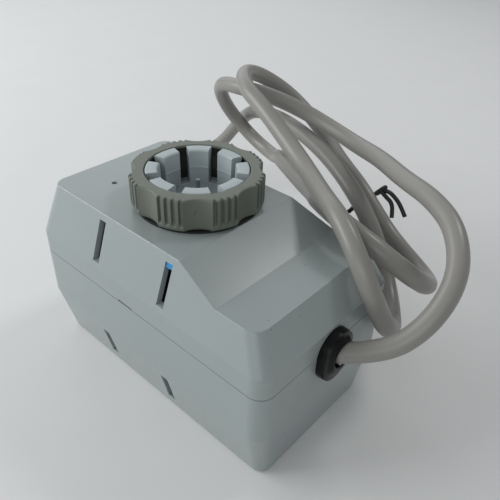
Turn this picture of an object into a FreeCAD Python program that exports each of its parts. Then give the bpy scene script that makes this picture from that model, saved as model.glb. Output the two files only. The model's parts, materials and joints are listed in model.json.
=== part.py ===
import FreeCAD, Part
import math
import os

# Motorised actuator head for a valve: two-part housing, geared motor, lifting
# spindle, fingered collet with a union ring nut on top, and a mains flex.
# Millimetres. Origin: on the bottom face, under the collet axis. +Z runs up the
# collet axis, +X along the long side towards the cable end.

V = FreeCAD.Vector
os.makedirs("parts", exist_ok=True)

# ---- housing ---------------------------------------------------------------
MID_Y = -2.2            # middle plane of the housing
Z_LOW = 22.7            # lower bend line
Z_PART = 41.4           # parting line between the shells
Z_UP = 49.5             # upper bend line
Z_TOP = 67.9            # top face
Z_SHELF = 61.1          # lower step of the top
HALF_BASE = 28.0
HALF_BAND = 33.2
HALF_TOP = 26.65
X_BASE = (-47.5, 59.8)
X_BAND = (-49.0, 61.9)
X_TOP = (-45.2, 51.43)
R_BASE = 4.5
R_BAND = 5.5
X_SLOPE_TOP = 22.2
X_SLOPE_LOW = 39.6
WALL = 2.3
EDGE_R = 0.5
BEND_R = 0.8
FOOT_R = 1.2
SEAM = 0.3             # open groove along the parting line
POSTS = [(-40.5, MID_Y - 22.5), (-40.5, MID_Y + 22.5), (52.0, MID_Y - 22.5), (52.0, MID_Y + 22.5)]

# ---- collet, ring nut, spindle ----------------------------------------------
R_NECK = 16.5
R_NUT = 23.0
R_MOUTH = 17.9
Z_NUT = (68.75, 80.04)
R_COLLET = 13.2
R_RELIEF = 13.7         # finger relief under the clamping land
Z_LAND = 75.9
Z_COLLET_FLOOR = 65.7
Z_COLLET_TOP = 80.0
R_SPINDLE = 5.0
R_TIP = 0.75
Z_TIP = 75.6

# ---- gear train ---------------------------------------------------------------
MODULE = 0.6
T_PINION = 14
T_WHEEL = 42
T_DRIVE = 56
IDLER_ANGLE = -20.0
MOTOR_ANGLE = 15.0
IDLER_DIST = MODULE * (T_PINION + T_DRIVE) / 2
MOTOR_DIST = MODULE * (T_PINION + T_WHEEL) / 2

# ---- cable ----------------------------------------------------------------------
R_CABLE = 3.45
CABLE = [
    (65.4, -2.2, 41), (77, 3, 45), (84.5, 12.5, 54.5), (85.5, 24.5, 66),
    (77, 37, 73.5), (63.5, 47, 75), (48, 56, 73), (32.5, 66, 72),
    (16.5, 74, 70), (0, 79.5, 70.5), (-17, 79.5, 74), (-30.5, 73, 78.5),
    (-43.5, 70, 79), (-65, 75.5, 75.5), (-73.5, 88, 59), (-62, 96.5, 42),
    (-40.5, 92.5, 38), (-26.5, 77.5, 48.5), (-18, 68.5, 53), (-6.5, 61, 54.5),
    (6, 54, 55), (18, 45, 58.5), (29.5, 30.5, 66.5), (56, 20.5, 67),
    (74, 32.5, 51.5), (66.5, 55, 37.5), (43, 66, 41), (32.5, 68, 48.5),
    (22, 71.5, 54.5), (6.5, 80.5, 56.5), (-8, 91.5, 57.5), (-23.5, 99, 62),
    (-37.5, 96.5, 72), (-45, 84.5, 81.5), (-42.5, 69, 87.5), (-31, 56, 87),
    (-14, 50, 83), (2.5, 44, 77.5), (18.5, 36.5, 73.5), (34, 26, 72.5),
    (49, 16, 73), (63, 9.5, 63), (70, 13.5, 46), (68.5, 27, 32),
    (59, 43, 29.5), (46.5, 54, 39), (35.5, 56.5, 52.5), (22.5, 61, 60),
    (6.5, 68.5, 63.5), (-10.5, 75.5, 65), (-28, 81.5, 65), (-44.5, 88.5, 62),
    (-58, 96.5, 57), (-71, 103.5, 49.5), (-82.5, 107, 38), (-92.5, 107, 25),
    (-103, 101.5, 15.5), (-111, 91, 8.5), (-113, 76, 3.5), (-107, 62, 3.5),
    (-93.5, 50.5, 3.5), (-77, 44.5, 3.5), (-59, 41.5, 3.5), (-41, 40.5, 3.5),
    (-23, 41.5, 3.5), (-5.5, 44.5, 3.5), (11, 49, 3.5),
]


def save(name, shape):
    """Write one solid and print its volume."""
    shape = shape.removeSplitter() if len(shape.Solids) == 1 else shape
    shape.exportStep("parts/" + name + ".step")
    note = "" if shape.isValid() and len(shape.Solids) == 1 else "  CHECK THIS ONE"
    print("%-24s %10.1f mm3%s" % (name, shape.Volume, note))


def cyl(r, z0, z1, x=0.0, y=0.0):
    return Part.makeCylinder(r, z1 - z0, V(x, y, z0), V(0, 0, 1))


def ring(r_out, r_in, z0, z1, x=0.0, y=0.0):
    return cyl(r_out, z0, z1, x, y).cut(cyl(r_in, z0 - 1, z1 + 1, x, y))


def box(x0, x1, y0, y1, z0, z1):
    return Part.makeBox(x1 - x0, y1 - y0, z1 - z0, V(x0, y0, z0))


def rod(p, q, r):
    """Round bar between two points."""
    return Part.makeCylinder(r, (V(*q) - V(*p)).Length, V(*p), V(*q) - V(*p))


def fuse(shapes):
    out = shapes[0]
    for s in shapes[1:]:
        out = out.fuse(s)
    return out


def cut_all(shape, tools):
    for t in tools:
        shape = shape.cut(t)
    return shape


def rounded_section(x0, x1, half, r, z):
    """Rounded rectangle about the middle plane, counter-clockwise from the front edge."""
    y0 = MID_Y - half
    y1 = MID_Y + half
    k = r * (1 - math.sqrt(0.5))
    pts = [(x0 + r, y0), (x1 - r, y0), (x1, y0 + r), (x1, y1 - r),
           (x1 - r, y1), (x0 + r, y1), (x0, y1 - r), (x0, y0 + r)]
    mids = [(x1 - k, y0 + k), (x1 - k, y1 - k), (x0 + k, y1 - k), (x0 + k, y0 + k)]
    edges = []
    for i in range(4):
        a = V(pts[2 * i][0], pts[2 * i][1], z)
        b = V(pts[2 * i + 1][0], pts[2 * i + 1][1], z)
        c = V(pts[(2 * i + 2) % 8][0], pts[(2 * i + 2) % 8][1], z)
        m = V(mids[i][0], mids[i][1], z)
        edges.append(Part.LineSegment(a, b).toShape())
        edges.append(Part.Arc(b, m, c).toShape())
    return Part.Wire(edges)


def section_at(z, inset):
    """Outline of the housing at a height, moved in by a wall thickness."""
    if z <= Z_LOW:
        f = z / Z_LOW
        lo = (X_BASE[0], X_BASE[1], HALF_BASE, R_BASE)
        hi = (X_BAND[0], X_BAND[1], HALF_BAND, R_BAND)
    elif z <= Z_UP:
        f = 0.0
        lo = (X_BAND[0], X_BAND[1], HALF_BAND, R_BAND)
        hi = lo
    else:
        f = (z - Z_UP) / (Z_TOP - Z_UP)
        lo = (X_BAND[0], X_BAND[1], HALF_BAND, R_BAND)
        hi = (X_TOP[0], X_TOP[1], HALF_TOP, R_BASE)
    x0, x1, half, r = [a + (b - a) * f for a, b in zip(lo, hi)]
    return rounded_section(x0 + inset, x1 - inset, half - inset, max(r - inset, 0.8), z)


def housing_body(inset, z0, z1, drop):
    """Faceted block between two heights with the sloping step cut from its top."""
    heights = [z0, Z_LOW, Z_UP, z1]
    parts = []
    for a, b in zip(heights[:-1], heights[1:]):
        pair = [section_at(a, inset), section_at(b, inset)]
        parts.append(Part.makeLoft(pair, True, True))
    body = fuse(parts).removeSplitter()
    top = Z_TOP - drop
    low = Z_SHELF - drop
    shift = 0.4 if drop else 0.0
    profile = [(X_SLOPE_TOP - shift, top), (X_SLOPE_LOW - shift, low), (80, low),
               (80, 90), (X_SLOPE_TOP - shift, 90), (X_SLOPE_TOP - shift, top)]
    wire = Part.makePolygon([V(x, -60, z) for x, z in profile])
    return body.cut(Part.Face(wire).extrude(V(0, 120, 0)))


def gear_points(teeth, phase, addendum, dedendum, backlash):
    """Involute tooth outline, pressure angle 20 degrees, one tooth centred on phase."""
    rp = MODULE * teeth / 2
    rb = rp * math.cos(math.radians(20))
    ra = rp + addendum * MODULE
    rf = rp - dedendum * MODULE
    inv20 = math.tan(math.radians(20)) - math.radians(20)
    half = math.pi / (2 * teeth) - backlash / (2 * rp)
    start = max(rf, rb)
    flank = []
    for k in range(4):
        r = start + (ra - start) * k / 3
        a = math.acos(min(1.0, rb / r))
        flank.append((r, half + inv20 - (math.tan(a) - a)))
    if rf < rb:
        flank.insert(0, (rf, flank[0][1]))
    pts = []
    for n in range(teeth):
        c = math.radians(phase) + 2 * math.pi * n / teeth
        for r, h in flank:
            pts.append((r * math.cos(c - h), r * math.sin(c - h)))
        for r, h in reversed(flank):
            pts.append((r * math.cos(c + h), r * math.sin(c + h)))
    return pts


def gear(teeth, phase, z0, z1, cx, cy, addendum=0.9):
    pts = [V(x + cx, y + cy, z0) for x, y in gear_points(teeth, phase, addendum, 1.15, 0.1)]
    return Part.Face(Part.makePolygon(pts + [pts[0]])).extrude(V(0, 0, z1 - z0))


def cord_path(points):
    """Straight runs joined by tangent arcs; returns the wire, its length and the radii."""
    pts = [V(*p) for p in points]
    edges = []
    radii = []
    start = pts[0]
    for i in range(1, len(pts) - 1):
        a = pts[i - 1] - pts[i]
        b = pts[i + 1] - pts[i]
        reach = 0.45 * min(a.Length, b.Length)
        a.normalize()
        b.normalize()
        turn = math.pi - a.getAngle(b)
        if turn < 0.002:
            continue
        radius = reach / math.tan(turn / 2)
        p = pts[i] + a * reach
        q = pts[i] + b * reach
        inward = a + b
        inward.normalize()
        mid = pts[i] + inward * (radius / math.cos(turn / 2) - radius)
        edges.append(Part.LineSegment(start, p).toShape())
        edges.append(Part.Arc(p, mid, q).toShape())
        radii.append((radius, i))
        start = q
    edges.append(Part.LineSegment(start, pts[-1]).toShape())
    length = sum(e.Length for e in edges)
    return Part.Wire(edges), length, radii


def tube(points, r):
    wire, length, radii = cord_path(points)
    first = V(*points[1]) - V(*points[0])
    profile = Part.Wire([Part.makeCircle(r, V(*points[0]), first)])
    shape = wire.makePipeShell([profile], True, False)
    if shape.Volume < 0:
        shape.reverse()
    ratio = shape.Volume / (math.pi * r * r * length)
    print("tube r %.2f  length %.1f  least radius %.1f at %d  volume ratio %.4f"
          % (r, length, min(radii)[0], min(radii)[1], ratio))
    return shape


# ---- shells ----------------------------------------------------------------------
outer = housing_body(0.0, 0.0, Z_TOP, 0.0)
def loop_edges(shape, z):
    """Edges of a shape that lie level at a height."""
    return [e for e in shape.Edges if abs(e.BoundBox.ZMin - z) < 0.05 and abs(e.BoundBox.ZMax - z) < 0.05]


def soften(shape, edges, radius):
    """Round a group of edges, with a smaller radius where the kernel needs one."""
    for r in (radius, 0.7 * radius, 0.5 * radius, 0.3 * radius):
        try:
            rounded = shape.makeFillet(r, edges)
        except Exception:
            continue
        if rounded.isValid() and rounded.Volume > 0.95 * shape.Volume:
            print("rounded %d edges, radius %.2f" % (len(edges), r))
            return rounded
    print("left sharp: radius", radius)
    return shape


outer = soften(outer, loop_edges(outer, Z_LOW), BEND_R)
outer = soften(outer, loop_edges(outer, Z_UP), BEND_R)
outer = soften(outer, loop_edges(outer, 0.0), FOOT_R)
outer = soften(outer, [e for e in outer.Edges if e.BoundBox.ZMin > Z_SHELF - 0.1], EDGE_R)
inner = housing_body(WALL, 2.2, Z_TOP - 2.2, 2.2)
skin = outer.cut(inner)
below = box(-80, 80, -60, 60, -5, Z_PART)
above = box(-80, 80, -60, 60, Z_PART, 95)

lower = skin.common(below)
upper = skin.common(above)
groove = Part.Face(section_at(Z_PART, -1.0)).extrude(V(0, 0, SEAM))
upper = upper.cut(groove.cut(Part.Face(section_at(Z_PART, 1.1)).extrude(V(0, 0, SEAM))))
for px, py in POSTS:
    lower = lower.fuse(cyl(4.6, 1.0, Z_PART, px, py))
    top = Z_TOP - 1.0 if px < 0 else Z_SHELF - 1.0
    upper = upper.fuse(cyl(3.6, Z_PART, top, px, py))
for px, py in POSTS:
    lower = lower.cut(cyl(3.3, -1, 30.0, px, py))
    lower = lower.cut(cyl(1.6, 29, 45, px, py))
    upper = upper.cut(cyl(1.5, 40, 53, px, py))

# tongue and groove along the joint between the shells
tongue_out = Part.Face(section_at(Z_PART, 1.2)).extrude(V(0, 0, 1.2))
tongue_in = Part.Face(section_at(Z_PART, WALL)).extrude(V(0, 0, 1.2))
lower = lower.fuse(tongue_out.cut(tongue_in))
groove_out = Part.Face(section_at(Z_PART, 1.1)).extrude(V(0, 0, 1.4))
upper = upper.cut(groove_out.cut(tongue_in.fuse(fuse([cyl(3.6, Z_PART, 60, x, y) for x, y in POSTS]))))

# ventilation slots through the sloping long sides, shallow hole and pry notches
for side in (-1, 1):
    y_out = MID_Y + side * 38
    y_in = MID_Y + side * 24.4
    ya, yb = min(y_out, y_in), max(y_out, y_in)
    for x0, x1 in ((-16.1, -12.9), (17.0, 20.2)):
        upper = upper.cut(box(x0, x1, ya, yb, 51.5, 65.6))
    for x0, x1 in ((-16.9, -13.6), (15.9, 19.3)):
        lower = lower.cut(box(x0, x1, ya, yb, 5.5, 18.4))
    y_n = MID_Y + side * 33.2
    upper = upper.cut(box(-2.7, 4.5, y_n - 0.8, y_n + 0.8, Z_PART, Z_PART + 0.9))
upper = upper.cut(cyl(1.0, 64, 70, -29.35, -13.6))
upper = upper.cut(cyl(17.0, 64, 70))

# oval seat for the cable bushing, half in each shell
def oval(half_y, z0, z1, x0, x1):
    """Upright oval prism along X: half width, bottom, top, start, end."""
    a = cylx(half_y, x0, x1, z0 + half_y)
    b = cylx(half_y, x0, x1, z1 - half_y)
    return fuse([a, b, box(x0, x1, MID_Y - half_y, MID_Y + half_y, z0 + half_y, z1 - half_y)]).removeSplitter()


def cylx(r, x0, x1, z):
    return Part.makeCylinder(r, x1 - x0, V(x0, MID_Y, z), V(1, 0, 0))


seat = oval(5.5, 32.0, 46.0, 56, 66)
lower = lower.cut(seat)
upper = upper.cut(seat)

# standoffs for the chassis
PILLARS = [(-31.0, -18.5), (-31.0, 14.0), (14.0, -20.0), (14.0, 15.6)]
for px, py in PILLARS:
    lower = lower.fuse(cyl(3.6, 1.5, 7.0, px, py))
save("lower_shell", lower)
save("upper_shell", upper)

for n, (px, py) in enumerate(POSTS, 1):
    screw = cyl(2.9, 27.6, 30.0, px, py).fuse(cyl(1.45, 30.0, 52.0, px, py))
    save("housing_screw_%d" % n, screw.cut(box(px - 2, px + 2, py - 0.4, py + 0.4, 27.0, 28.7)))

# ---- chassis -----------------------------------------------------------------------
IDLER = (IDLER_DIST * math.cos(math.radians(IDLER_ANGLE)), IDLER_DIST * math.sin(math.radians(IDLER_ANGLE)))
MOTOR = (IDLER[0] + MOTOR_DIST * math.cos(math.radians(MOTOR_ANGLE)),
         IDLER[1] + MOTOR_DIST * math.sin(math.radians(MOTOR_ANGLE)))
CAN = (38.0, MOTOR[1])
PLATE = (-35.0, 46.5, MID_Y - 21.0, MID_Y + 21.0)
save("chassis_lower_plate", box(*PLATE, 7.0, 8.5).cut(cyl(6.0, 6, 9)))
top_plate = box(*PLATE, 38.0, 39.5)
top_plate = cut_all(top_plate, [cyl(6.05, 37, 40), cyl(5.2, 37, 40, *MOTOR), cyl(1.55, 37, 40, *IDLER),
                                box(36.3, 39.7, -20.6, -15.0, 37, 40)])
save("chassis_upper_plate", top_plate)
for n, (px, py) in enumerate(PILLARS, 1):
    save("chassis_pillar_%d" % n, cyl(3.0, 8.5, 38.0, px, py))

bridge = box(-20.0, 28.0, MID_Y - 21.0, MID_Y + 21.0, 51.0, 52.2)
GUIDES = [(-14.0, 0.0), (0.0, 14.0)]
bridge = cut_all(bridge, [cyl(8.05, 50, 53), cyl(1.55, 50, 53, *IDLER)])
save("bridge_plate", bridge)
BRIDGE_POSTS = [(-17.0, -20.0), (-17.0, 15.6), (26.6, -21.6), (25.5, 15.6)]
for n, (px, py) in enumerate(BRIDGE_POSTS, 1):
    save("bridge_post_%d" % n, cyl(2.0, 39.5, 51.0, px, py))
for n, (px, py) in enumerate(GUIDES, 1):
    save("guide_rod_%d" % n, cyl(1.5, 52.2, 62.9, px, py))

# ---- motor and gears -----------------------------------------------------------------
can = cyl(17.5, 18.0, 36.0, *CAN).fuse(cyl(7.0, 36.0, 38.0, *MOTOR)).cut(cyl(1.55, 30, 39, *MOTOR))
save("motor_can", can)
pinion = gear(T_PINION, MOTOR_ANGLE + 180 + 180.0 / T_PINION, 39.8, 44.5, *MOTOR)
save("motor_pinion", pinion.fuse(cyl(1.5, 31.0, 39.8, *MOTOR)))
wheel = gear(T_WHEEL, MOTOR_ANGLE, 40.5, 44.0, *IDLER)
small = gear(T_PINION, IDLER_ANGLE + 180 + 180.0 / T_PINION, 44.0, 50.2, *IDLER)
idler = wheel.fuse(small).fuse(cyl(2.6, 39.6, 40.5, *IDLER)).cut(cyl(1.55, 39, 51, *IDLER))
save("idler_gear", idler)
save("idler_pin", cyl(1.5, 38.0, 52.2, *IDLER))
drive = gear(T_DRIVE, IDLER_ANGLE, 45.0, 49.5, 0.0, 0.0, 0.85)
drive = fuse([drive, cyl(6.8, 40.3, 45.0), cyl(6.0, 37.0, 40.3), cyl(8.0, 49.5, 52.2)]).cut(cyl(5.05, 36, 54))
save("drive_nut_gear", drive)
save("thrust_washer", ring(7.4, 6.05, 39.5, 40.3))

# ---- spindle, yoke and position indicator ----------------------------------------------
spindle = fuse([cyl(R_SPINDLE, 16.0, 58.5), cyl(4.0, 58.5, 62.2), cyl(R_TIP, 62.2, Z_TIP)])
save("spindle", spindle)
yoke = fuse([cyl(8.0, 58.5, 61.0), box(-17.0, 0, -3.0, 3.0, 58.5, 61.0), box(-3.0, 3.0, 0, 17.0, 58.5, 61.0)])
arm = Part.makePolygon([V(0, -4, 58.5), V(4, 0, 58.5), V(20.0, -20.5, 58.5), V(20.0, -24.6, 58.5),
                        V(17.2, -24.6, 58.5), V(0, -4, 58.5)])
yoke = yoke.fuse(Part.Face(arm).extrude(V(0, 0, 2.5)))
yoke = cut_all(yoke, [cyl(4.0, 50, 70)] + [cyl(1.55, 50, 70, *g) for g in GUIDES])
save("yoke", yoke)
blade = box(17.2, 20.0, -26.6, -24.6, 57.0, 65.3)
nose = Part.makePolygon([V(17.2, -24.6, 63.7), V(17.2, -29.9, 63.7), V(17.2, -29.35, 65.3), V(17.2, -24.6, 65.3),
                         V(17.2, -24.6, 63.7)])
save("position_indicator", blade.fuse(Part.Face(nose).extrude(V(2.8, 0, 0))))

# ---- collet ------------------------------------------------------------------------------
profile = [(0.8, 62.9), (21.0, 62.9), (21.0, 65.7), (R_NECK, 65.7), (R_NECK, 74.6), (17.6, 79.1),
           (17.6, 79.6), (17.2, Z_COLLET_TOP), (13.6, Z_COLLET_TOP), (R_COLLET, 79.3),
           (R_COLLET, Z_LAND), (R_RELIEF, Z_LAND - 0.5), (R_RELIEF, Z_COLLET_FLOOR), (0.8, Z_COLLET_FLOOR),
           (0.8, 62.9)]
collet = Part.Face(Part.makePolygon([V(x, 0, z) for x, z in profile])).revolve(V(0, 0, 0), V(0, 0, 1), 360)
for k in range(8):
    half = math.radians(7.5)
    mid = math.radians(22.5 + 45 * k)
    gap = [V(0, 0, 67.2)]
    for s in (-1, 1):
        gap.append(V(30 * math.cos(mid + s * half), 30 * math.sin(mid + s * half), 67.2))
    wedge = Part.Face(Part.makePolygon(gap + [gap[0]])).extrude(V(0, 0, 20))
    collet = collet.cut(wedge)
save("collet", collet)

# ---- ring nut and slip ring ---------------------------------------------------------------
e = 1.1
nut_pts = [V(16.55, 0, Z_NUT[0]), V(R_NUT - 0.5, 0, Z_NUT[0]), V(R_NUT, 0, Z_NUT[0] + 0.5),
           V(R_NUT, 0, Z_NUT[1] - e)]
mid_pt = V(R_NUT - e * (1 - math.sqrt(0.5)), 0, Z_NUT[1] - e * (1 - math.sqrt(0.5)))
top_pt = V(R_NUT - e, 0, Z_NUT[1])
tail_pts = [top_pt, V(R_MOUTH + 0.3, 0, Z_NUT[1]), V(R_MOUTH, 0, Z_NUT[1] - 0.3), V(R_MOUTH, 0, 76.2),
            V(16.55, 0, 71.6), nut_pts[0]]
edges = [Part.LineSegment(a, b).toShape() for a, b in zip(nut_pts[:-1], nut_pts[1:])]
edges.append(Part.Arc(nut_pts[-1], mid_pt, top_pt).toShape())
edges += [Part.LineSegment(a, b).toShape() for a, b in zip(tail_pts[:-1], tail_pts[1:])]
nut = Part.Face(Part.Wire(edges)).revolve(V(0, 0, 0), V(0, 0, 1), 360)
SCALLOP_R = 8.57
SCALLOP_C = 29.77
GROOVES = (-8.9, -2.9, 3.0, 9.0)
for k in range(8):
    a = math.radians(1.5 + 45 * k)
    nut = nut.cut(cyl(SCALLOP_R, 70.0, 82.0, SCALLOP_C * math.cos(a), SCALLOP_C * math.sin(a)))
    for g in GROOVES:
        slot = box(22.1, 24.0, -0.55, 0.55, 72.3, 82.0)
        slot.rotate(V(0, 0, 0), V(0, 0, 1), 1.5 + 45 * k + 22.5 + g)
        nut = nut.cut(slot)
save("ring_nut", nut)
save("slip_ring", ring(21.9, 16.55, 67.95, 68.7))

# ---- electronics --------------------------------------------------------------------------------
save("pcb", box(34.0, 56.0, MID_Y - 18.0, MID_Y + 18.0, 48.0, 49.6).cut(box(54.0, 57.0, -9.5, 5.1, 47, 50)))
for n, (px, py) in enumerate(((43.6, -17.2), (36.6, 12.6)), 1):
    save("pcb_standoff_%d" % n, cyl(2.2, 39.5, 48.0, px, py))
save("terminal_block", box(42.5, 49.0, MID_Y - 7.5, MID_Y + 7.5, 39.7, 48.0))
save("relay", box(38.0, 50.0, -14.5, -5.5, 49.6, 56.8))
save("capacitor", cyl(4.2, 49.6, 58.0, 45.0, 6.0))
save("limit_switch_1", box(-31.0, -25.0, -13.0, -3.0, 39.5, 46.0))
save("limit_switch_2", box(-31.0, -25.0, -1.0, 9.0, 39.5, 46.0))
save("motor_lead_1", cyl(0.7, 36.0, 48.0, 38.0, -19.0))
save("motor_lead_2", cyl(0.7, 36.0, 48.0, 38.0, -16.5))

# ---- cable entry ----------------------------------------------------------------------------------
EXIT = V(*CABLE[0])
AIM = V(*CABLE[1]) - EXIT
AIM.normalize()
Z_CABLE = CABLE[0][2]
bushing = oval(7.6, 29.5, 48.5, 61.9, 66.4)
bushing = fuse([bushing, oval(5.45, 32.05, 45.95, 59.6, 61.9), oval(7.0, 30.5, 47.5, 57.2, 59.6)])
mouth = Part.makeCylinder(5.4, 5, V(63.2, MID_Y, Z_CABLE), V(1, 0, 0))
bore = Part.makeCylinder(R_CABLE + 0.05, 20, V(50, MID_Y, Z_CABLE), V(1, 0, 0))
save("cable_bushing", cut_all(bushing, [mouth, bore]))
entry = Part.makeCylinder(R_CABLE, 17.0, V(53.0, MID_Y, Z_CABLE), V(1, 0, 0))
stop = Part.makeCylinder(20, 20, EXIT, AIM)
save("cable_entry", entry.cut(stop))
for n, dy in enumerate((-2.1, 0.0, 2.1), 1):
    save("core_%d" % n, Part.makeCylinder(0.9, 4.0, V(49.0, MID_Y + dy, Z_CABLE), V(1, 0, 0)))
clamp_x = (53.3, 57.0)
jaw_low = box(*clamp_x, MID_Y - 8.2, MID_Y + 8.2, 36.6, 40.9)
jaw_top = box(*clamp_x, MID_Y - 8.2, MID_Y + 8.2, 41.1, 45.4)
grip = Part.makeCylinder(R_CABLE + 0.02, 20, V(50, MID_Y, Z_CABLE), V(1, 0, 0))
holes = [cyl(1.25, 30, 50, 55.15, MID_Y + s * 5.8) for s in (-1, 1)]
save("clamp_jaw_lower", cut_all(jaw_low, [grip] + holes))
save("clamp_jaw_upper", cut_all(jaw_top, [grip] + holes))
for n, s in enumerate((-1, 1), 1):
    y = MID_Y + s * 5.8
    save("clamp_screw_%d" % n, cyl(1.2, 36.6, 45.4, 55.15, y).fuse(cyl(1.7, 45.4, 46.8, 55.15, y)))

# ---- flex outside the housing -----------------------------------------------------------------------
cable = tube(CABLE, R_CABLE)
save("cable", cable)
END = V(*CABLE[-1])
OUT = END - V(*CABLE[-2])
OUT.normalize()
ACROSS = V(-OUT.y, OUT.x, 0)
beyond = Part.makeBox(60, 60, 60, END + V(0, -30, -30)).copy()
beyond.rotate(END, V(0, 0, 1), math.degrees(math.atan2(OUT.y, OUT.x)))
TAILS = [(-1.3, -0.6, -0.22, 0.0, 20), (0.0, 1.35, 0.0, 0.08, 24), (1.3, -0.6, 0.22, 0.0, 22)]
for n, (side, up, side_lean, up_lean, length) in enumerate(TAILS, 1):
    aim = OUT + ACROSS * side_lean + V(0, 0, up_lean)
    aim.normalize()
    start = END + ACROSS * side + V(0, 0, up)
    core = Part.makeCylinder(0.95, length + 3, start - aim * 3, aim)
    save("tail_core_%d" % n, core.common(beyond))
    tip = start + aim * length
    collar = Part.makeCylinder(1.35, 3.0, tip, aim).fuse(Part.makeCylinder(0.8, 8.0, tip + aim * 3, aim))
    save("tail_ferrule_%d" % n, collar)

# ---- twist tie behind two strands ---------------------------------------------------------------------
R_TIE = 0.9
TIE = [(28.5, 55, 51.5), (27.5, 59.5, 50.5), (27, 63.5, 52), (28, 64.9, 56), (26.3, 64.6, 50.2), (24.2, 67.8, 45.4),
       (25.5, 74, 47.8), (28, 75.5, 51), (29.5, 76.8, 52.6)]
TIE_ENDS = [[(29.5, 76.8, 52.6), (32, 78.3, 53.3), (36.3, 78.9, 50.5), (39.1, 78.8, 47.9), (42, 78.2, 44.5)],
            [(29.5, 76.8, 52.6), (32.4, 76.9, 50.7), (34.9, 77.3, 49.2), (36.5, 76.7, 46.7), (37.6, 75.2, 43.4)]]
tie = Part.makeSphere(2.0, V(*TIE[-1]))
for route in [TIE] + TIE_ENDS:
    for p, q in zip(route[:-1], route[1:]):
        tie = tie.fuse(rod(p, q, R_TIE)).fuse(Part.makeSphere(R_TIE, V(*p))).fuse(Part.makeSphere(R_TIE, V(*q)))
save("twist_tie", tie)

print("house to cable gap: lower %.2f upper %.2f nut %.2f bushing %.2f" % (
    lower.distToShape(cable)[0], upper.distToShape(cable)[0], nut.distToShape(cable)[0],
    bushing.cut(mouth).cut(bore).distToShape(cable)[0]))
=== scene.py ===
import json
import math

import bpy
import numpy as np
from mathutils import Matrix, Vector


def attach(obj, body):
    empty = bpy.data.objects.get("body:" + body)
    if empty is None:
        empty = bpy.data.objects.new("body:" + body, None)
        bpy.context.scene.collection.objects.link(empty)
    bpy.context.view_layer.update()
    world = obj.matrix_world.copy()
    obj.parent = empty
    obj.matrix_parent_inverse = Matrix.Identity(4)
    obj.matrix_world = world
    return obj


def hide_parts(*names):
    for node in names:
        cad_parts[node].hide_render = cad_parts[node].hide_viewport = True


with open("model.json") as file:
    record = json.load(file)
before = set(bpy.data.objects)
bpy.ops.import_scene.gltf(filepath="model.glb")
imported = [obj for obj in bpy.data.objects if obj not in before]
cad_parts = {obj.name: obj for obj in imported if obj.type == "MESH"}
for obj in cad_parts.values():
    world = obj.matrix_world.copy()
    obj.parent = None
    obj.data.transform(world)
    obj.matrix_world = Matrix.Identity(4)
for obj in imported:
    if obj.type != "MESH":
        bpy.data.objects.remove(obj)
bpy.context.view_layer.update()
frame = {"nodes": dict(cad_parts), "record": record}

# Motorised valve actuator head: grey two-part case, olive ring nut round a
# fingered collet, black oval bushing and a warm grey flex in two loose loops.
# Metres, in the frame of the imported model.

NODES = frame["nodes"]
MM = 0.001


# ---- camera -------------------------------------------------------------------
EYE = Vector((0.12337, -0.11440, 0.16660))
YAW = math.radians(40.79)
PITCH = math.radians(35.58)
ROLL = math.radians(2.37)
FIELD = 2 * math.atan(250 / 556.46)


def add_camera():
    """Camera at EYE, turned by yaw, tipped down by pitch and rolled about its own view."""
    ahead = Vector((-math.sin(YAW) * math.cos(PITCH), math.cos(YAW) * math.cos(PITCH), -math.sin(PITCH)))
    right = Vector((math.cos(YAW), math.sin(YAW), 0))
    up = right.cross(ahead)
    side = right * math.cos(ROLL) + up * math.sin(ROLL)
    top = up * math.cos(ROLL) - right * math.sin(ROLL)
    turn = Matrix((side, top, -ahead)).transposed().to_4x4()
    data = bpy.data.cameras.new("camera")
    data.angle = FIELD
    data.clip_start = 0.01
    data.clip_end = 20
    camera = bpy.data.objects.new("camera", data)
    bpy.context.scene.collection.objects.link(camera)
    camera.matrix_world = Matrix.Translation(EYE) @ turn
    bpy.context.scene.camera = camera


add_camera()

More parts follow.
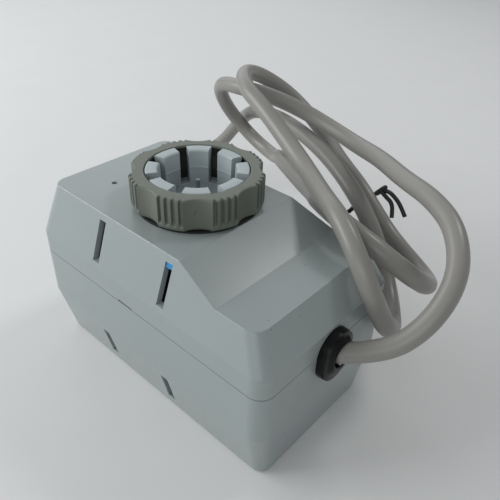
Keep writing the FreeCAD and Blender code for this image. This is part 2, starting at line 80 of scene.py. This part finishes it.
# ---- flex ------------------------------------------------------------------------
FLEX_DIAMETER = 0.0069
FLEX_ROUTE = [
    (0.0654, -0.0022, 0.0410), (0.0770, 0.0030, 0.0450), (0.0845, 0.0125, 0.0545),
    (0.0855, 0.0245, 0.0660), (0.0770, 0.0370, 0.0735), (0.0635, 0.0470, 0.0750),
    (0.0480, 0.0560, 0.0730), (0.0325, 0.0660, 0.0720), (0.0165, 0.0740, 0.0700),
    (0.0, 0.0795, 0.0705), (-0.0170, 0.0795, 0.0740), (-0.0305, 0.0730, 0.0785),
    (-0.0435, 0.0700, 0.0790), (-0.0650, 0.0755, 0.0755), (-0.0735, 0.0880, 0.0590),
    (-0.0620, 0.0965, 0.0420), (-0.0405, 0.0925, 0.0380), (-0.0265, 0.0775, 0.0485),
    (-0.0180, 0.0685, 0.0530), (-0.0065, 0.0610, 0.0545), (0.0060, 0.0540, 0.0550),
    (0.0180, 0.0450, 0.0585), (0.0295, 0.0305, 0.0665), (0.0560, 0.0205, 0.0670),
    (0.0740, 0.0325, 0.0515), (0.0665, 0.0550, 0.0375), (0.0430, 0.0660, 0.0410),
    (0.0325, 0.0680, 0.0485), (0.0220, 0.0715, 0.0545), (0.0065, 0.0805, 0.0565),
    (-0.0080, 0.0915, 0.0575), (-0.0235, 0.0990, 0.0620), (-0.0375, 0.0965, 0.0720),
    (-0.0450, 0.0845, 0.0815), (-0.0425, 0.0690, 0.0875), (-0.0310, 0.0560, 0.0870),
    (-0.0140, 0.0500, 0.0830), (0.0025, 0.0440, 0.0775), (0.0185, 0.0365, 0.0735),
    (0.0340, 0.0260, 0.0725), (0.0490, 0.0160, 0.0730), (0.0630, 0.0095, 0.0630),
    (0.0700, 0.0135, 0.0460), (0.0685, 0.0270, 0.0320), (0.0590, 0.0430, 0.0295),
    (0.0465, 0.0540, 0.0390), (0.0355, 0.0565, 0.0525), (0.0225, 0.0610, 0.0600),
    (0.0065, 0.0685, 0.0635), (-0.0105, 0.0755, 0.0650), (-0.0280, 0.0815, 0.0650),
    (-0.0445, 0.0885, 0.0620), (-0.0580, 0.0965, 0.0570), (-0.0710, 0.1035, 0.0495),
    (-0.0825, 0.1070, 0.0380), (-0.0925, 0.1070, 0.0250), (-0.1030, 0.1015, 0.0155),
    (-0.1110, 0.0910, 0.0085), (-0.1130, 0.0760, 0.0035), (-0.1070, 0.0620, 0.0035),
    (-0.0935, 0.0505, 0.0035), (-0.0770, 0.0445, 0.0035), (-0.0590, 0.0415, 0.0035),
    (-0.0410, 0.0405, 0.0035), (-0.0230, 0.0415, 0.0035), (-0.0055, 0.0445, 0.0035),
    (0.0110, 0.0490, 0.0035),
]


def place(obj, body, *stands_for, slot=None):
    """Put a finished piece on its body and hide the CAD nodes it stands for."""
    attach(obj, body)
    if stands_for:
        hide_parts(*stands_for)
    return obj


def spline_piece(name, routes, radius, steps, sides):
    """Round cord: a quadratic NURBS spline over each route's control points, with a round bevel.

    The bevel depth is 1 and each point's radius scales it, so the curve's own box is no wider than the cord.
    """
    data = bpy.data.curves.new(name, "CURVE")
    data.dimensions = "3D"
    data.resolution_u = steps
    for route in routes:
        spline = data.splines.new("NURBS")
        spline.points.add(len(route) - 1)
        for point, place_at in zip(spline.points, route):
            point.co = (*place_at, 1.0)
            point.radius = radius
        spline.order_u = 3
        spline.use_endpoint_u = True
    data.bevel_depth = 1.0
    data.bevel_resolution = sides
    data.use_fill_caps = True
    piece = bpy.data.objects.new(name, data)
    bpy.context.scene.collection.objects.link(piece)
    return piece


flex = spline_piece("mains_flex", [FLEX_ROUTE], FLEX_DIAMETER / 2, steps=14, sides=7)
place(flex, "housing", "cable", slot="cable_grey")


# ---- finishes -----------------------------------------------------------------------
def group_tree(name, inputs, outputs):
    """Empty shader node group with named float sockets."""
    tree = bpy.data.node_groups.new(name, "ShaderNodeTree")
    for label, value in inputs:
        socket = tree.interface.new_socket(label, in_out="INPUT", socket_type="NodeSocketFloat")
        socket.default_value = value
    for label in outputs:
        tree.interface.new_socket(label, in_out="OUTPUT", socket_type="NodeSocketFloat")
    return tree, tree.nodes.new("NodeGroupInput"), tree.nodes.new("NodeGroupOutput")


def add(tree, kind, **values):
    """New shader node of a kind, with the given settings."""
    node = tree.nodes.new("ShaderNode" + kind)
    for key, value in values.items():
        setattr(node, key, value)
    return node


def make_moulding_grain():
    """Fine spark-eroded grain over a broad unevenness, both from noise on Object coordinates.

    Height is the fine grain plus a tenth of the broad noise; Tone is the broad noise alone.
    """
    tree, source, sink = group_tree("moulding_grain", [("Grain Scale", 2600.0), ("Tone Scale", 35.0)],
                                    ["Height", "Tone", "Scuff"])
    coord = add(tree, "TexCoord")
    fine = add(tree, "TexNoise")
    fine.inputs["Detail"].default_value = 3.0
    broad = add(tree, "TexNoise")
    broad.inputs["Detail"].default_value = 4.0
    scuff = add(tree, "TexNoise")
    scuff.inputs["Scale"].default_value = 320.0
    scuff.inputs["Detail"].default_value = 6.0
    scuff.inputs["Distortion"].default_value = 1.2
    for noise in (fine, broad, scuff):
        tree.links.new(coord.outputs["Object"], noise.inputs["Vector"])
    tree.links.new(source.outputs["Grain Scale"], fine.inputs["Scale"])
    tree.links.new(source.outputs["Tone Scale"], broad.inputs["Scale"])
    blend = add(tree, "Math", operation="MULTIPLY_ADD")
    blend.inputs[1].default_value = 0.1
    tree.links.new(broad.outputs[0], blend.inputs[0])
    tree.links.new(fine.outputs[0], blend.inputs[2])
    tree.links.new(blend.outputs[0], sink.inputs["Height"])
    tree.links.new(broad.outputs[0], sink.inputs["Tone"])
    sharp = add(tree, "MapRange")
    sharp.inputs["From Min"].default_value = 0.58
    sharp.inputs["From Max"].default_value = 0.74
    tree.links.new(scuff.outputs[0], sharp.inputs["Value"])
    tree.links.new(sharp.outputs["Result"], sink.inputs["Scuff"])
    return tree


def make_dust_specks():
    """Small scattered specks: one where a cell of a Voronoi pattern lies within a threshold."""
    tree, source, sink = group_tree("dust_specks", [("Scale", 260.0), ("Size", 0.09)], ["Mask"])
    coord = add(tree, "TexCoord")
    cells = add(tree, "TexVoronoi")
    tree.links.new(coord.outputs["Object"], cells.inputs["Vector"])
    tree.links.new(source.outputs["Scale"], cells.inputs["Scale"])
    near = add(tree, "Math", operation="LESS_THAN")
    tree.links.new(cells.outputs["Distance"], near.inputs[0])
    tree.links.new(source.outputs["Size"], near.inputs[1])
    thin = add(tree, "TexNoise")
    thin.inputs["Scale"].default_value = 60.0
    tree.links.new(coord.outputs["Object"], thin.inputs["Vector"])
    some = add(tree, "Math", operation="GREATER_THAN")
    some.inputs[1].default_value = 0.6
    tree.links.new(thin.outputs[0], some.inputs[0])
    both = add(tree, "Math", operation="MULTIPLY")
    tree.links.new(near.outputs[0], both.inputs[0])
    tree.links.new(some.outputs[0], both.inputs[1])
    tree.links.new(both.outputs[0], sink.inputs["Mask"])
    return tree


GRAIN = make_moulding_grain()
SPECKS = make_dust_specks()

# The Mix node's colour sockets share their names with its number sockets, so they go by place.
MIX_FACTOR = 0
MIX_FIRST = 6
MIX_SECOND = 7
MIX_COLOUR = 2
COAT_ROUGHNESS = 0.25
SCUFF_ROUGHNESS = 0.12
GRAIN_HEIGHT = 0.00004


def finish(name, colour, rough, metallic=0.0, grain=2600.0, bump=0.02, tone=0.06, specks=0.0, coat=0.0,
           sheen=0.0, specular=0.5):
    """One procedural finish: colour varied by tone and specks, roughness by scuffs, bump by grain."""
    material = bpy.data.materials.new(name)
    material.use_nodes = True
    tree = material.node_tree
    shader = tree.nodes["Principled BSDF"]
    shader.inputs["Metallic"].default_value = metallic
    shader.inputs["Specular IOR Level"].default_value = specular
    shader.inputs["Coat Weight"].default_value = coat
    shader.inputs["Coat Roughness"].default_value = COAT_ROUGHNESS
    shader.inputs["Sheen Weight"].default_value = sheen
    grains = add(tree, "Group", node_tree=GRAIN)
    grains.inputs["Grain Scale"].default_value = grain
    light = [min(1.0, c * (1 + tone)) for c in colour] + [1.0]
    dark = [c * (1 - tone) for c in colour] + [1.0]
    shade = add(tree, "Mix", data_type="RGBA")
    shade.inputs[MIX_FIRST].default_value = light
    shade.inputs[MIX_SECOND].default_value = dark
    tree.links.new(grains.outputs["Tone"], shade.inputs[MIX_FACTOR])
    colour_out = shade.outputs[MIX_COLOUR]
    if specks:
        dust = add(tree, "Group", node_tree=SPECKS)
        dusted = add(tree, "Mix", data_type="RGBA")
        dusted.inputs[MIX_SECOND].default_value = [c * (1 - specks) for c in colour] + [1.0]
        tree.links.new(dust.outputs["Mask"], dusted.inputs[MIX_FACTOR])
        tree.links.new(colour_out, dusted.inputs[MIX_FIRST])
        colour_out = dusted.outputs[MIX_COLOUR]
    tree.links.new(colour_out, shader.inputs["Base Color"])
    gloss = add(tree, "MapRange")
    gloss.inputs["To Min"].default_value = rough
    gloss.inputs["To Max"].default_value = min(1.0, rough + SCUFF_ROUGHNESS)
    tree.links.new(grains.outputs["Scuff"], gloss.inputs["Value"])
    tree.links.new(gloss.outputs["Result"], shader.inputs["Roughness"])
    relief = add(tree, "Bump")
    relief.inputs["Strength"].default_value = bump * 10
    relief.inputs["Distance"].default_value = GRAIN_HEIGHT
    tree.links.new(grains.outputs["Height"], relief.inputs["Height"])
    tree.links.new(relief.outputs["Normal"], shader.inputs["Normal"])
    return material


FINISHES = {
    "housing_grey": finish("case_grey", (0.300, 0.338, 0.335), 0.30, bump=0.03, tone=0.03, specks=0.25),
    "collet_grey": finish("collet_grey", (0.38, 0.43, 0.44), 0.42, bump=0.02, tone=0.04),
    "nut_olive": finish("nut_olive", (0.135, 0.148, 0.122), 0.46, bump=0.03, tone=0.08, specks=0.2),
    # this near-black finish is also laid on the ring nut's bore as painted shade
    "slip_dark": finish("slip_dark", (0.010, 0.010, 0.010), 0.6, tone=0.1),
    "screw_steel": finish("screw_steel", (0.55, 0.55, 0.54), 0.32, metallic=1.0, grain=1200, tone=0.1),
    "plate_steel": finish("plate_steel", (0.50, 0.51, 0.52), 0.4, metallic=1.0, grain=900, tone=0.1),
    "bright_steel": finish("bright_steel", (0.30, 0.31, 0.32), 0.55, metallic=1.0, grain=1500, tone=0.08),
    "gear_white": finish("gear_nylon", (0.72, 0.70, 0.64), 0.45, tone=0.04, sheen=0.1),
    "brass": finish("turned_brass", (0.62, 0.43, 0.17), 0.28, metallic=1.0, tone=0.08),
    "indicator_blue": finish("pointer_blue", (0.01, 0.22, 0.55), 0.35, tone=0.05, coat=0.2),
    "board_green": finish("board_green", (0.02, 0.13, 0.05), 0.35, tone=0.12, coat=0.3),
    "black_plastic": finish("black_moulding", (0.012, 0.012, 0.012), 0.38, tone=0.2),
    "terminal_grey": finish("terminal_grey", (0.16, 0.17, 0.17), 0.5, tone=0.06),
    "bushing_black": finish("bushing_black", (0.004, 0.004, 0.004), 0.30, bump=0.02, tone=0.2, specular=0.2),
    "cable_grey": finish("flex_grey", (0.25, 0.24, 0.222), 0.36, grain=1800, bump=0.015, tone=0.05),
    "core_brown": finish("core_brown", (0.10, 0.035, 0.012), 0.4, tone=0.08),
    "core_blue": finish("core_blue", (0.015, 0.08, 0.40), 0.4, tone=0.08),
    "core_black": finish("core_black", (0.012, 0.012, 0.012), 0.4, tone=0.1),
    "tin": finish("tinned_copper", (0.62, 0.62, 0.60), 0.3, metallic=1.0, tone=0.08),
}


def coat_piece(obj, slot):
    """Give a new piece the finish of a material slot."""
    obj.data.materials.clear()
    obj.data.materials.append(FINISHES[slot])


def coat_cad_nodes():
    """Every CAD node takes the procedural finish of its own slot."""
    for part in frame["record"]["subparts"]:
        data = NODES[part["node"]].data
        if not data.materials:
            data.materials.append(None)
        for index in range(len(data.materials)):
            data.materials[index] = FINISHES[part["material_slot"]]


coat_cad_nodes()
coat_piece(flex, "cable_grey")


# ---- mesh helpers ----------------------------------------------------------------------
def mesh_piece(name, points, faces, slot, smooth_angle=35.0):
    """Object from numpy points in millimetres and faces, smooth below an angle."""
    data = bpy.data.meshes.new(name)
    data.from_pydata((np.asarray(points, float) * MM).tolist(), [], [list(map(int, f)) for f in faces])
    data.update()
    obj = bpy.data.objects.new(name, data)
    bpy.context.scene.collection.objects.link(obj)
    data.shade_smooth()
    data.set_sharp_from_angle(angle=math.radians(smooth_angle))
    coat_piece(obj, slot)
    return obj


def ring_grid_faces(rows, columns, close_rows=False):
    """Quads of a grid whose columns close round; rows may close as well."""
    last = rows if close_rows else rows - 1
    i, j = np.meshgrid(np.arange(last), np.arange(columns), indexing="ij")
    a = i * columns + j
    b = i * columns + (j + 1) % columns
    c = ((i + 1) % rows) * columns + (j + 1) % columns
    d = ((i + 1) % rows) * columns + j
    return np.stack([a, b, c, d], axis=-1).reshape(-1, 4)


def soft_step(x, low, high):
    """0 below low, 1 above high, 3t^2 - 2t^3 between."""
    t = np.clip((x - low) / (high - low), 0.0, 1.0)
    return t * t * (3 - 2 * t)


def round_profile(points, radii, steps=5):
    """Closed outline with each corner replaced by a quadratic curve that starts radius away from it."""
    out = []
    pts = np.array(points, float)
    for k, radius in enumerate(radii):
        here = pts[k]
        if radius == 0:
            out.append(here)
            continue
        before = pts[k - 1] - here
        after = pts[(k + 1) % len(pts)] - here
        start = here + before / np.linalg.norm(before) * radius
        end = here + after / np.linalg.norm(after) * radius
        for t in np.linspace(0, 1, steps):
            out.append((1 - t) ** 2 * start + 2 * t * (1 - t) * here + t * t * end)
    return np.array(out)


def subdivided(profile, longest):
    """The closed outline with points added so that no side is over a length."""
    out = []
    for a, b in zip(profile, np.roll(profile, -1, axis=0)):
        n = max(1, int(math.ceil(np.linalg.norm(b - a) / longest)))
        out += [a + (b - a) * k / n for k in range(n)]
    return np.array(out)


# ---- ring nut ------------------------------------------------------------------------------
NUT_R = 23.0
NUT_LOW = 68.75
NUT_TOP = 80.04
SCALLOPS = 8
SCALLOP_TURN = 1.5
SCALLOP_R = 8.57
SCALLOP_FROM_AXIS = 29.77
GROOVE_TURNS = (-8.9, -2.9, 3.0, 9.0)
GROOVE_HALF = 0.68
GROOVE_FLAT = 0.6
GROOVE_DEPTH = 1.0
GROOVE_FADE = (70.4, 71.4)
DIMPLE_TURN = 315.0
DIMPLE_HEIGHT = 74.8
DIMPLE_R = 0.45
DIMPLE_DEPTH = 0.5
NUT_SECTION = [
    (16.55, NUT_LOW), (NUT_R, NUT_LOW), (NUT_R, NUT_TOP), (17.9, NUT_TOP), (17.9, 76.2), (16.55, 71.6),
]
NUT_CORNERS = [0.2, 1.4, 0.7, 0.3, 0.8, 0.8]
NUT_SIDE = 0.55
NUT_TURNS = 1200
GRIP_FROM = 18.5
BORE_R = 18.1
BORE_TOP = 79.2


def nut_outer_radius(turn, height):
    """Radius of the grip at an angle in degrees and a height.

    A scallop is the near side of a circle SCALLOP_FROM_AXIS out: d cos a - sqrt(s^2 - (d sin a)^2).
    A groove is a smooth notch GROOVE_HALF to each side, faded out towards the bottom.
    The dimple is DIMPLE_DEPTH exp(-(distance / DIMPLE_R)^2).
    """
    step = 360.0 / SCALLOPS
    off = (turn - SCALLOP_TURN + step / 2) % step - step / 2
    across = SCALLOP_FROM_AXIS * np.sin(np.radians(off))
    inside = np.clip(SCALLOP_R ** 2 - across ** 2, 0, None)
    scoop = SCALLOP_FROM_AXIS * np.cos(np.radians(off)) - np.sqrt(inside)
    scoop = np.where(inside > 0, scoop, NUT_R)
    cut = np.clip(NUT_R - scoop, 0, None)
    between = (turn - SCALLOP_TURN) % step - step / 2
    notch = 0
    for centre in GROOVE_TURNS:
        away = np.abs(between - centre) * np.pi / 180 * NUT_R
        notch = np.maximum(notch, 1 - soft_step(away, GROOVE_HALF * GROOVE_FLAT, GROOVE_HALF))
    notch = notch * GROOVE_DEPTH * soft_step(height, *GROOVE_FADE)
    along = (turn - DIMPLE_TURN) * np.pi / 180 * NUT_R
    dimple = DIMPLE_DEPTH * np.exp(-(along ** 2 + (height - DIMPLE_HEIGHT) ** 2) / DIMPLE_R ** 2)
    return NUT_R - cut - notch - dimple


def make_ring_nut():
    """The nut's closed section turned about Z, with its bore in the dark finish as painted shade of the
    recess round the collet.

    Beyond GRIP_FROM a point's radius scales to the grip: g + (r - g) (rim - g) / (NUT_R - g).
    """
    section = subdivided(round_profile(NUT_SECTION, NUT_CORNERS), NUT_SIDE)
    turn = np.linspace(0, 360, NUT_TURNS, endpoint=False)
    r, t = np.meshgrid(section[:, 0], turn, indexing="ij")
    z = np.repeat(section[:, 1][:, None], len(turn), axis=1)
    rim = nut_outer_radius(t, z)
    r = np.where(r > GRIP_FROM, GRIP_FROM + (r - GRIP_FROM) * (rim - GRIP_FROM) / (NUT_R - GRIP_FROM), r)
    a = np.radians(t)
    points = np.stack([r * np.cos(a), r * np.sin(a), z], axis=-1).reshape(-1, 3)
    faces = ring_grid_faces(len(section), len(turn), close_rows=True)
    nut = mesh_piece("grip_ring_nut", points, faces[:, ::-1], "nut_olive", 50.0)
    # painted shade: the olive nut's inner wall takes the near-black finish, standing in for the shaded gap
    # round the collet
    nut.data.materials.append(FINISHES["slip_dark"])
    radius = np.hypot(points[:, 0], points[:, 1])[faces].max(axis=1)
    centre_z = points[:, 2][faces].mean(axis=1)
    dark = (radius < BORE_R) & (centre_z < BORE_TOP)
    nut.data.polygons.foreach_set("material_index", dark.astype(np.int32))
    return nut


place(make_ring_nut(), "ring_nut_body", "ring_nut", slot="nut_olive")


# ---- collet ----------------------------------------------------------------------------------
FINGERS = 8
FINGER_HALF = 15.0
FINGER_STEPS = 17
ROOT_SECTION = [
    (0.8, 62.9), (21.0, 62.9), (21.0, 65.7), (16.5, 65.7), (16.5, 67.2), (13.2, 67.2),
    (13.2, 65.7), (0.8, 65.7),
]
ROOT_CORNERS = [0.1, 0.2, 0.2, 0.1, 0.15, 0.3, 0.4, 0.1]
ROOT_TURNS = 192
FINGER_SECTION = [(13.2, 66.9), (16.5, 66.9), (16.5, 74.6), (17.6, 79.1), (17.6, 80.0), (13.3, 80.0),
                  (13.15, 73.8), (12.95, 73.4), (13.2, 73.0)]
FINGER_CORNERS = [0, 0, 0.8, 0.5, 0.5, 0.8, 0.12, 0.12, 0.12]
FINGER_EDGE = 0.25


def make_collet():
    """Floor, flange and root as one turned section, and eight fingers swept over their angle.

    A finger is its section (radius, height) carried through 2 FINGER_HALF degrees and closed at both ends.
    """
    points = []
    faces = []
    root = round_profile(ROOT_SECTION, ROOT_CORNERS, 4)
    turn = np.radians(np.linspace(0, 360, ROOT_TURNS, endpoint=False))
    r, t = np.meshgrid(root[:, 0], turn, indexing="ij")
    z = np.repeat(root[:, 1][:, None], len(turn), axis=1)
    points.append(np.stack([r * np.cos(t), r * np.sin(t), z], axis=-1).reshape(-1, 3))
    faces += [f[::-1] for f in ring_grid_faces(len(root), len(turn), close_rows=True).tolist()]
    start = len(points[0])
    finger = round_profile(FINGER_SECTION, FINGER_CORNERS, 5)
    for k in range(FINGERS):
        arc = np.radians(360.0 / FINGERS * k + np.linspace(-FINGER_HALF, FINGER_HALF, FINGER_STEPS))
        t, r = np.meshgrid(arc, finger[:, 0], indexing="ij")
        z = np.repeat(finger[:, 1][None, :], len(arc), axis=0)
        points.append(np.stack([r * np.cos(t), r * np.sin(t), z], axis=-1).reshape(-1, 3))
        grid = ring_grid_faces(len(arc), len(finger)) + start
        faces += grid.tolist()
        faces.append(list(range(start + len(finger) - 1, start - 1, -1)))
        end = start + (len(arc) - 1) * len(finger)
        faces.append(list(range(end, end + len(finger))))
        start = end + len(finger)
    obj = mesh_piece("fingered_collet", np.concatenate(points), faces, "collet_grey")
    bevel = obj.modifiers.new("edges", "BEVEL")
    bevel.width = FINGER_EDGE * MM
    bevel.segments = 2
    bevel.limit_method = "ANGLE"
    bevel.angle_limit = math.radians(50)
    return obj


place(make_collet(), "housing", "collet", slot="collet_grey")


# ---- cable bushing -------------------------------------------------------------------------------
BUSH_Y = -2.2
BUSH_Z = 39.0
BUSH_ROUND = 7.6
BUSH_STRAIGHT = 1.9
MOUTH_Z = 41.0
MOUTH_R = 5.4
BUSH_RINGS = [
    (61.9, 1.4, 0), (61.9, 0.0, 0), (62.5, -0.1, 0), (64.2, 0.0, 0), (65.0, 0.2, 0), (65.2, 0.9, 0),
    (65.2, 1.3, 0.1), (65.9, 1.4, 0.3), (66.5, 1.35, 0.5), (66.75, 1.2, 0.72), (66.75, 1.0, 0.86),
    (66.7, 0.8, 0.96), (66.4, 0.7, 1), (65.8, 0.75, 1), (64.6, 0.85, 1), (63.3, 1.0, 1), (63.2, 1.9, 1),
]
BUSH_TURNS = 144


def make_bushing():
    """Oval collar: rings that start as the upright oval and blend into the round mouth.

    Each ring has a place along X, an inset, and a share w of mouth circle: (1 - w) oval + w circle.
    """
    phi = np.linspace(0, 2 * np.pi, BUSH_TURNS, endpoint=False)
    cos, sin = np.cos(phi), np.sin(phi)
    rows = []
    for x, inset, share in BUSH_RINGS:
        oval_y = BUSH_Y + (BUSH_ROUND - inset) * cos
        oval_z = BUSH_Z + (BUSH_ROUND - inset) * sin + BUSH_STRAIGHT * np.clip(sin * 6, -1, 1)
        mouth_y = BUSH_Y + (MOUTH_R - inset) * cos
        mouth_z = MOUTH_Z + (MOUTH_R - inset) * sin
        y = oval_y * (1 - share) + mouth_y * share
        z = oval_z * (1 - share) + mouth_z * share
        rows.append(np.stack([np.full_like(phi, x), y, z], axis=-1))
    points = np.array(rows).reshape(-1, 3)
    faces = ring_grid_faces(len(BUSH_RINGS), len(phi), close_rows=True)
    return mesh_piece("oval_bushing", points, faces, "bushing_black", 60.0)


place(make_bushing(), "housing", "cable_bushing", slot="bushing_black")


# ---- twist tie -------------------------------------------------------------------------------------
TIE_RADIUS = 0.0009
TIE_BAND = [
    (0.0285, 0.0550, 0.0515), (0.0275, 0.0595, 0.0505), (0.0270, 0.0635, 0.0520),
    (0.0280, 0.0649, 0.0560), (0.0263, 0.0646, 0.0502), (0.0242, 0.0678, 0.0454),
    (0.0255, 0.0740, 0.0478), (0.0280, 0.0755, 0.0510), (0.0295, 0.0768, 0.0526),
]
TIE_ENDS = [
    [(0.0295, 0.0768, 0.0526), (0.0320, 0.0783, 0.0533), (0.0363, 0.0789, 0.0505),
     (0.0391, 0.0788, 0.0479), (0.0420, 0.0782, 0.0445)],
    [(0.0295, 0.0768, 0.0526), (0.0324, 0.0769, 0.0507), (0.0349, 0.0773, 0.0492),
     (0.0365, 0.0767, 0.0467), (0.0376, 0.0752, 0.0434)],
]
KNOT_TURNS = 3
KNOT_POINTS = 6
KNOT_RADIUS = 0.0017
KNOT_HALF = 0.0016
KNOT_SIDE = np.array([-0.55, -0.40, -0.73])
KNOT_AXIS = np.array([0.60, 0.25, 0.76])


def knot_route():
    """Close turns at the end of the band: centre + axis h (2t/T - 1) + R (side cos t + side x axis sin t)."""
    centre = np.array(TIE_BAND[-1])
    across = np.cross(KNOT_SIDE, KNOT_AXIS)
    turns = np.linspace(0, 2 * np.pi * KNOT_TURNS, KNOT_POINTS * KNOT_TURNS + 1)
    route = []
    for t in turns:
        along = KNOT_AXIS * KNOT_HALF * (t / turns[-1] * 2 - 1)
        around = KNOT_RADIUS * (math.cos(t) * KNOT_SIDE + math.sin(t) * across)
        route.append(tuple(centre + along + around))
    return route


def tie_piece():
    """Black wire tie: the band behind the strands, the knot and two loose ends."""
    piece = spline_piece("twist_tie_band", [TIE_BAND, knot_route()] + TIE_ENDS, TIE_RADIUS, steps=10, sides=4)
    coat_piece(piece, "black_plastic")
    return piece


tie = place(tie_piece(), "housing", "twist_tie", slot="black_plastic")


# ---- floor and light ------------------------------------------------------------------------------------
FLOOR_HALF = 3.0
FLOOR_Z = -0.0001
LAMP_AIM = (0.0, 0.02, 0.04)
LAMPS = [
    ("window", (-0.85, 0.58, 0.50), 0.9, (0.9, 0.5), 1.4, (0.95, 0.98, 1.0)),
    ("ceiling", (0.25, 0.75, 1.0), 0.9, (0.15, 0.15), 1.3, (1.0, 0.99, 0.97)),
    ("left_room", (-0.80, -0.65, 0.50), 0.9, (0.7, 0.5), 5.6, (0.97, 0.99, 1.0)),
    ("front_room", (0.5, -1.0, 0.5), 1.1, (0.8, 0.5), 2.2, (0.97, 0.99, 1.0)),
]
ROOM_COLOUR = (0.93, 0.97, 1.0, 1.0)
ROOM_STRENGTH = 0.34


def add_floor():
    """Pale level floor, just under the case."""
    corners = [(x * FLOOR_HALF, y * FLOOR_HALF, 0) for x, y in ((-1, -1), (1, -1), (1, 1), (-1, 1))]
    data = bpy.data.meshes.new("floor")
    data.from_pydata(corners, [], [(0, 1, 2, 3)])
    floor = bpy.data.objects.new("floor", data)
    bpy.context.scene.collection.objects.link(floor)
    floor.location.z = FLOOR_Z
    floor.data.materials.append(finish("paper_sweep", (0.72, 0.72, 0.715), 0.9, bump=0.0, tone=0.02))


def add_area(name, towards, distance, size, power, colour):
    """Rectangular soft light on a line from the aim point, facing it."""
    data = bpy.data.lights.new(name, "AREA")
    data.shape = "RECTANGLE"
    data.size = size[0]
    data.size_y = size[1]
    data.energy = power
    data.color = colour
    lamp = bpy.data.objects.new(name, data)
    bpy.context.scene.collection.objects.link(lamp)
    direction = Vector(towards).normalized()
    lamp.location = Vector(LAMP_AIM) + direction * distance
    lamp.rotation_euler = direction.to_track_quat("Z", "Y").to_euler()


def add_light():
    """Even room light and the four soft lamps."""
    bpy.context.scene.view_settings.view_transform = "Standard"
    world = bpy.data.worlds.new("studio")
    bpy.context.scene.world = world
    world.use_nodes = True
    background = world.node_tree.nodes["Background"]
    background.inputs["Color"].default_value = ROOM_COLOUR
    background.inputs["Strength"].default_value = ROOM_STRENGTH
    for lamp in LAMPS:
        add_area(*lamp)


add_floor()
add_light()

bpy.context.view_layer.update()
